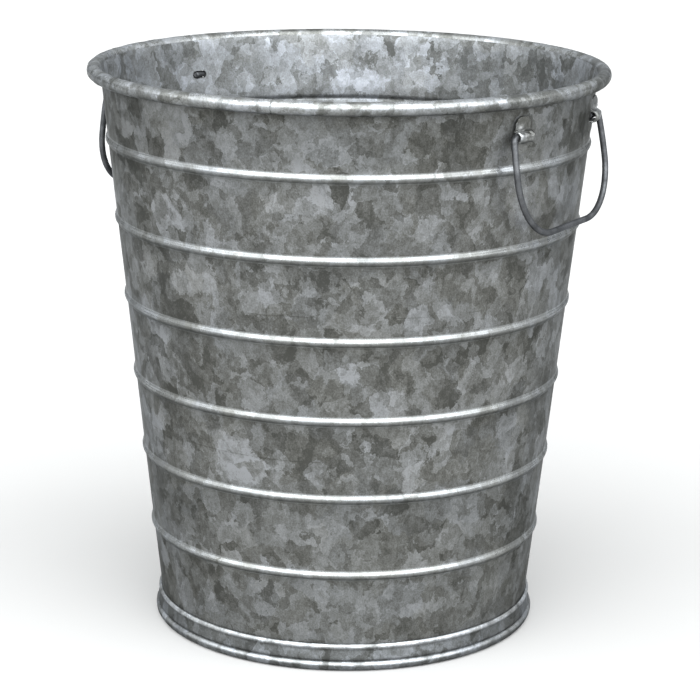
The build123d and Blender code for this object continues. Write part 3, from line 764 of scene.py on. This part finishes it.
def pan_loop():
    e, b = 1.6, 2.2
    p = [(inside(e), e), (inside(4.5), 4.5), (inside(PAN_Z - b), PAN_Z - b)]
    p += arc3((inside(PAN_Z - b), PAN_Z - b), (inside(PAN_Z) - b * 0.30, PAN_Z - b * 0.29), (inside(PAN_Z) - b, PAN_Z), 5)
    p += [(94.0, PAN_Z), (88.0, PAN_Z), (82, PAN_Z)]
    p += arc3((82, PAN_Z), (79.5, PAN_Z - 0.35), (77, PAN_Z - 1.2), 4)
    p += arc3((77, PAN_Z - 1.2), (74.5, PAN_Z - 2.05), (72, PAN_Z - 2.4), 4)
    top = [60.0, 48.0, 36.0, 24.0, 12.0, 5.0]
    p += [(r, PAN_Z - 2.4) for r in top] + [(0.0, PAN_Z - 2.4), (0.0, PAN_Z - 2.4 - PAN_T)]
    p += [(r, PAN_Z - 2.4 - PAN_T) for r in reversed(top)] + [(72, PAN_Z - 2.4 - PAN_T)]
    p += arc3((72, PAN_Z - 2.4 - PAN_T), (74.75, PAN_Z - 2.07 - PAN_T), (77.3, PAN_Z - 1.2 - PAN_T), 4)
    p += arc3((77.3, PAN_Z - 1.2 - PAN_T), (79.7, PAN_Z - 0.33 - PAN_T), (82, PAN_Z - PAN_T), 4)
    p += [(88.0, PAN_Z - PAN_T), (94.0, PAN_Z - PAN_T), (inside(PAN_Z) - b, PAN_Z - PAN_T)]
    p += arc3((inside(PAN_Z) - b, PAN_Z - PAN_T), (inside(PAN_Z) - b + 0.95, PAN_Z - PAN_T - 0.43), (inside(PAN_Z - b, PAN_T), PAN_Z - b), 5)
    p += [(inside(4.5, PAN_T), 4.5), (inside(e, PAN_T), e)]
    return p


def pan_disp(r, z, az):
    if r > 92:
        return 0.0, 0.0
    a = math.radians(az)
    x, y = r * math.cos(a), r * math.sin(a)
    return 0.0, 0.35 * n1(x / 38.0, y / 38.0, 0.0, 21.0) * min(1.0, (92 - r) / 15.0)


pan = turned("bucket_bottom", pan_loop(), "bucket", [ZINC_PAN], 180, pan_disp)
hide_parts("bottom_pan")


# ------------------------------------------------------------------ ears: the strap with its edges softened by the zinc
def make_ear(node):
    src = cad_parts[node]
    tmp = bpy.data.objects.new("tmp_" + node, src.data.copy())
    col.objects.link(tmp)
    md = tmp.modifiers.new("r", "REMESH")
    md.mode = "VOXEL"
    md.voxel_size = 0.00019
    md.adaptivity = 0.0
    sm = tmp.modifiers.new("s", "SMOOTH")
    sm.factor = 0.5
    sm.iterations = 4
    dg = bpy.context.evaluated_depsgraph_get()
    me = bpy.data.meshes.new_from_object(tmp.evaluated_get(dg), depsgraph=dg)
    bpy.data.objects.remove(tmp)
    me.name = "bucket_" + node
    me.materials.clear()
    me.materials.append(ZINC_EAR)
    me.polygons.foreach_set("use_smooth", [True] * len(me.polygons))
    # beaten a little uneven
    co = np.zeros(len(me.vertices) * 3, np.float32)
    no = np.zeros(len(me.vertices) * 3, np.float32)
    me.vertices.foreach_get("co", co)
    me.vertex_normals.foreach_get("vector", no)
    co, no = co.reshape(-1, 3).astype(float), no.reshape(-1, 3).astype(float)
    seed = sum(ord(c) for c in node) % 17
    umax = float(np.abs(co[:, 1]).max() * 1000)
    grime, rub = np.zeros(len(co)), np.zeros(len(co))
    side = 1 if co[:, 1].mean() > 0 else -1
    for k in range(len(co)):
        x, y, z = co[k] * 1000
        rr = math.hypot(x, y)
        u = side * y
        off = (rr - wall(z)) * COS
        ds = (z - HINGE_Z) / COS
        if abs(ds) > 2.6:
            t = min(1.0, max(0.0, (u - 34.2) / 6.0))
            t = t * t * (3 - 2 * t)
            keep = 0.08 + 0.92 * t
            e = min(1.0, max(0.0, (abs(ds) - 2.6) / 1.6))
            e = e * e * (3 - 2 * e)
            lift = 0.0
            if ds > 0:
                v = min(1.0, max(0.0, (u - 39.5) / 6.0))
                lift = 0.95 * v * v * e * min(1.0, (EAR_UP - ds + 3.0) / 6.0)
                lift += 1.25 * math.exp(-((ds - 4.6) / 1.5) ** 2 - ((u - 42.6) / 2.5) ** 2)     # a lump of zinc
            new = off * (1 - e * (1 - keep)) + lift
            co[k][0] *= 1 + (new - off) / COS / rr
            co[k][1] *= 1 + (new - off) / COS / rr
            x, y, z = co[k] * 1000
            rr = math.hypot(x, y)
        elif u < 37.2:                                  # pressed down past the wire's end
            t = min(1.0, max(0.0, (u - 33.8) / 3.4))
            t = t * t * (3 - 2 * t)
            new = off * (0.45 + 0.55 * t)
            co[k][0] *= 1 + (new - off) / COS / rr
            co[k][1] *= 1 + (new - off) / COS / rr
            x, y, z = co[k] * 1000
            rr = math.hypot(x, y)
        free = min(1.0, max(0.0, (rr - wall(z) - 0.45) / 0.5))
        nr = (no[k][0] * x + no[k][1] * y) / rr
        outer = 1.0 if (off - 1.8) * nr + ds * no[k][2] > 0 else 0.0
        knuckle = min(1.0, max(0.0, (3.6 - abs(ds)) / 1.0))
        d = free * (0.11 * n1(x / 3.1, y / 3.1, z / 3.1, 30 + seed) + 0.03 * n1(x / 0.9, y / 0.9, z / 0.9, 40 + seed))
        d += outer * free * knuckle * (0.34 * n1(x / 2.3, y / 2.3, z / 1.6, 50 + seed) + 0.12)
        # painted highlight on the lump of zinc
        lump = math.exp(-((ds - 4.3) / 1.9) ** 2 - ((u - 42.2) / 3.0) ** 2)
        if lump > 0.08:
            rub[k] = lump * (0.65 + 0.45 * n1(x / 1.5, y / 1.5, z / 1.3, 70 + seed))
            d += outer * lump * 0.22 * n1(x / 1.7, y / 1.7, z / 1.5, 80 + seed)
        # painted shadow along the ear's lifted outer edge
        if abs(ds) > 2.4 and u > umax - 1.5:
            grime[k] = min(1.0, (u - umax + 1.5) / 0.9)
        # painted highlight on the knuckle's outside
        if abs(ds) < 3.4 and free > 0:
            rub[k] = max(rub[k], free * knuckle * min(1.0, max(0.0, (u - 37.0) / 3.5)) * (0.45 + 0.55 * n1(x / 1.6, y / 1.6, z / 1.2, 60 + seed)))
            # painted shadow on the knuckle's underside
            if outer and ds < -0.9:
                grime[k] = max(grime[k], 0.75 * min(1.0, (-0.9 - ds) / 1.0))
        co[k] += no[k] * d * MM
    me.vertices.foreach_set("co", co.astype(np.float32).ravel())
    me.update()
    o = bpy.data.objects.new("bucket_" + node, me)
    col.objects.link(o)
    paint(o, "grime", grime)
    paint(o, "rub", np.clip(rub, 0, 1))
    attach(o, "bucket")
    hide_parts(node)
    return o


ears = [make_ear(n) for n in ("ear_right_front", "ear_right_rear", "ear_left_front", "ear_left_rear")]


# ------------------------------------------------------------------ handles
def handle_path():
    """(u, w) points of the handle's middle line from one pivot end to the other."""
    bow = math.asin((DROP - CORNER_R - BEND_R) / LEG_ARC_R)
    for _ in range(20):
        top_w = BEND_R * (1 - math.sin(bow))
        bow = math.asin((DROP - CORNER_R - top_w) / LEG_ARC_R)
    top_u = LEG_MAX_U - LEG_ARC_R * (1 - math.cos(bow))
    bc = (top_u - BEND_R * math.cos(bow), top_w + BEND_R * math.sin(bow))
    half = [(u, 0.0) for u in np.linspace(STUB_U, bc[0], 7)]
    half += [(bc[0] + BEND_R * math.cos(t), bc[1] - BEND_R * math.sin(t)) for t in np.linspace(math.pi / 2, -bow, 13)[1:]]
    half += [(LEG_MAX_U - LEG_ARC_R * (1 - math.cos(t)), DROP - CORNER_R - LEG_ARC_R * math.sin(t)) for t in np.linspace(bow, 0, 12)[1:]]
    half += [(LEG_MAX_U - CORNER_R + CORNER_R * math.cos(t), DROP - CORNER_R + CORNER_R * math.sin(t)) for t in np.linspace(0, math.pi / 2, 30)[1:]]
    half += [(u, DROP) for u in np.linspace(LEG_MAX_U - CORNER_R, 0, 12)[1:]]
    return half + [(-u, w) for u, w in reversed(half[:-1])]


def make_handle(name, node, mid, tilt, mat, seed):
    b = math.radians(tilt)
    m = math.radians(mid)
    er = np.array([math.cos(m), math.sin(m), 0.0])
    et = np.array([-math.sin(m), math.cos(m), 0.0])
    down = np.array([0, 0, -math.cos(b)]) + er * math.sin(b)
    side = np.cross(et, down)
    o = er * HINGE_D + np.array([0, 0, HINGE_Z])
    path = handle_path()
    pts = np.array([o + et * u + down * w for u, w in path])
    tan = np.gradient(pts, axis=0)
    tan /= np.linalg.norm(tan, axis=1)[:, None]
    SEG = 24
    verts, faces = [], []
    length = np.concatenate([[0], np.cumsum(np.linalg.norm(np.diff(pts, axis=0), axis=1))])
    rings = []
    caps = [(0.0, 0.35), (0.05, 0.70), (0.16, 0.90), (0.34, 1.0)]       # rounded cut ends

    def ring(c, t, r, s, rough=1.0):
        nvec = np.cross(side, t)
        ids = []
        for k in range(SEG):
            a = 2 * math.pi * k / SEG
            d = math.cos(a) * side + math.sin(a) * nvec
            q = c + d * r
            e = rough * (0.030 * n1(q[0] / 3.4, q[1] / 3.4, q[2] / 3.4, seed) + 0.012 * n1(q[0] / 1.1, q[1] / 1.1, q[2] / 1.1, seed + 3))
            ids.append(len(verts))
            verts.append(tuple(c + d * (r + e)))
        return ids

    first = len(verts)
    verts.append(tuple(pts[0]))
    for d, k in caps:
        rings.append(ring(pts[0] + tan[0] * d, tan[0], WIRE_R * k, 0.0, 0.3))
    for i in range(1, len(pts) - 1):
        rings.append(ring(pts[i], tan[i], WIRE_R, length[i]))
    for d, k in reversed(caps):
        rings.append(ring(pts[-1] - tan[-1] * d, tan[-1], WIRE_R * k, 0.0, 0.3))
    last = len(verts)
    verts.append(tuple(pts[-1]))
    for a, c in zip(rings, rings[1:]):
        for k in range(SEG):
            k2 = (k + 1) % SEG
            faces.append((a[k], a[k2], c[k2], c[k]))
    for k in range(SEG):
        k2 = (k + 1) % SEG
        faces.append((first, rings[0][k2], rings[0][k]))
        faces.append((last, rings[-1][k], rings[-1][k2]))
    h = new_mesh(name, verts, faces, node, [mat], 60.0)
    import bmesh
    bm = bmesh.new()
    bm.from_mesh(h.data)
    bmesh.ops.recalc_face_normals(bm, faces=bm.faces)
    bm.to_mesh(h.data)
    bm.free()
    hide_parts(node)
    return h


hr = make_handle("wire_handle_right", "handle_right", 0, RIGHT_TILT, WIRE_A, 51)
hl = make_handle("wire_handle_left", "handle_left", 180, LEFT_TILT, WIRE_B, 57)

# the wire inside the roll keeps its CAD shape
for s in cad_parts["rim_wire"].material_slots:
    s.material = ZINC_FOOT

# ------------------------------------------------------------------ floor, light, camera
floor_t = Tree("pale_floor")
fp = floor_t.node("ShaderNodeTexCoord").outputs["Object"]
fn = floor_t.noise(fp, 3.0, 3.0, 0.5)
floor_mat = floor_t.finish(
    Base_Color=floor_t.ramp(fn, [(0.3, (0.366, 0.363, 0.358)), (0.7, (0.382, 0.379, 0.374))]), Roughness=0.9)
fv, ff = [], []
N = 40
S = 9.0
for i in range(N + 1):
    for j in range(N + 1):
        fv.append((-S + 2 * S * i / N, -S + 2 * S * j / N, -0.0004))
for i in range(N):
    for j in range(N):
        a = i * (N + 1) + j
        ff.append((a, a + N + 1, a + N + 2, a + 1))
fm = bpy.data.meshes.new("floor")
fm.from_pydata(fv, [], ff)
fm.materials.append(floor_mat)
floor = bpy.data.objects.new("floor", fm)
col.objects.link(floor)

CAM_AZ = math.radians(-59.3)
cam_pos = Vector((688.2, -1159.2, 496.9)) * MM


toward = Vector((math.cos(CAM_AZ), math.sin(CAM_AZ), 0))      # from the bucket to the camera
right = Vector((-math.sin(CAM_AZ), math.cos(CAM_AZ), 0))

# Soft studio light: a bright tent overhead, strongest on the camera's side, dimmer near the floor.
# It is fixed in the room.
SKY_FRONT, SKY_BACK = 6.2, 1.2
world = bpy.data.worlds.new("studio")
bpy.context.scene.world = world
world.use_nodes = True
wt = Tree.__new__(Tree)
wt.nt, wt.n = world.node_tree, 0
wt.nt.nodes.clear()
wdir = wt.node("ShaderNodeTexCoord").outputs["Generated"]
wdir = wt.vec("NORMALIZE", wdir)


def dot(v, w):
    nd = wt.node("ShaderNodeVectorMath", operation="DOT_PRODUCT")
    wt.put(nd.inputs[0], v)
    nd.inputs[1].default_value = tuple(w)
    return nd.outputs["Value"]


height = dot(wdir, (0, 0, 1))                                     # sine of the elevation
facing = dot(wdir, toward)
flat = wt.math("SQRT", wt.math("MAXIMUM", wt.math("SUBTRACT", 1.0, wt.math("MULTIPLY", height, height)), 1e-4))
facing = wt.math("DIVIDE", facing, flat)                          # cosine of the azimuth from the camera's side
bank = wt.remap(facing, -0.45, 0.85, SKY_BACK, SKY_FRONT, smooth=True)
light = wt.math("MULTIPLY", bank, wt.remap(height, 0.05, 0.34, 0.20, 1.0, smooth=True))
light = wt.math("MULTIPLY", light, wt.remap(height, 0.80, 0.98, 1.0, 0.75, smooth=True))
bgn = wt.node("ShaderNodeBackground")
bgn.inputs[0].default_value = (0.965, 0.985, 1.0, 1.0)
wt.put(bgn.inputs[1], light)
wo = wt.node("ShaderNodeOutputWorld")
wt.nt.links.new(bgn.outputs[0], wo.inputs[0])

cam_d = bpy.data.cameras.new("camera")
cam_d.sensor_width = 36.0
cam_d.sensor_fit = "HORIZONTAL"
cam_d.lens = 130.76
cam_d.clip_start, cam_d.clip_end = 0.05, 60.0
cam = bpy.data.objects.new("camera", cam_d)
YAW, PITCH, ROLL = 0.0016, 0.2544, 0.0112
f0 = -toward
r0 = f0.cross(Vector((0, 0, 1)))
fh = f0 * math.cos(YAW) + r0 * math.sin(YAW)
rh = fh.cross(Vector((0, 0, 1)))
fwd = fh * math.cos(PITCH) - Vector((0, 0, 1)) * math.sin(PITCH)
up = rh.cross(fwd)
cr = rh * math.cos(ROLL) + up * math.sin(ROLL)
cu = up * math.cos(ROLL) - rh * math.sin(ROLL)
cam.matrix_world = Matrix((
    (cr.x, cu.x, -fwd.x, cam_pos.x),
    (cr.y, cu.y, -fwd.y, cam_pos.y),
    (cr.z, cu.z, -fwd.z, cam_pos.z),
    (0, 0, 0, 1),
))
col.objects.link(cam)
bpy.context.scene.camera = cam
bpy.context.scene.view_settings.view_transform = "Standard"

bpy.context.view_layer.update()
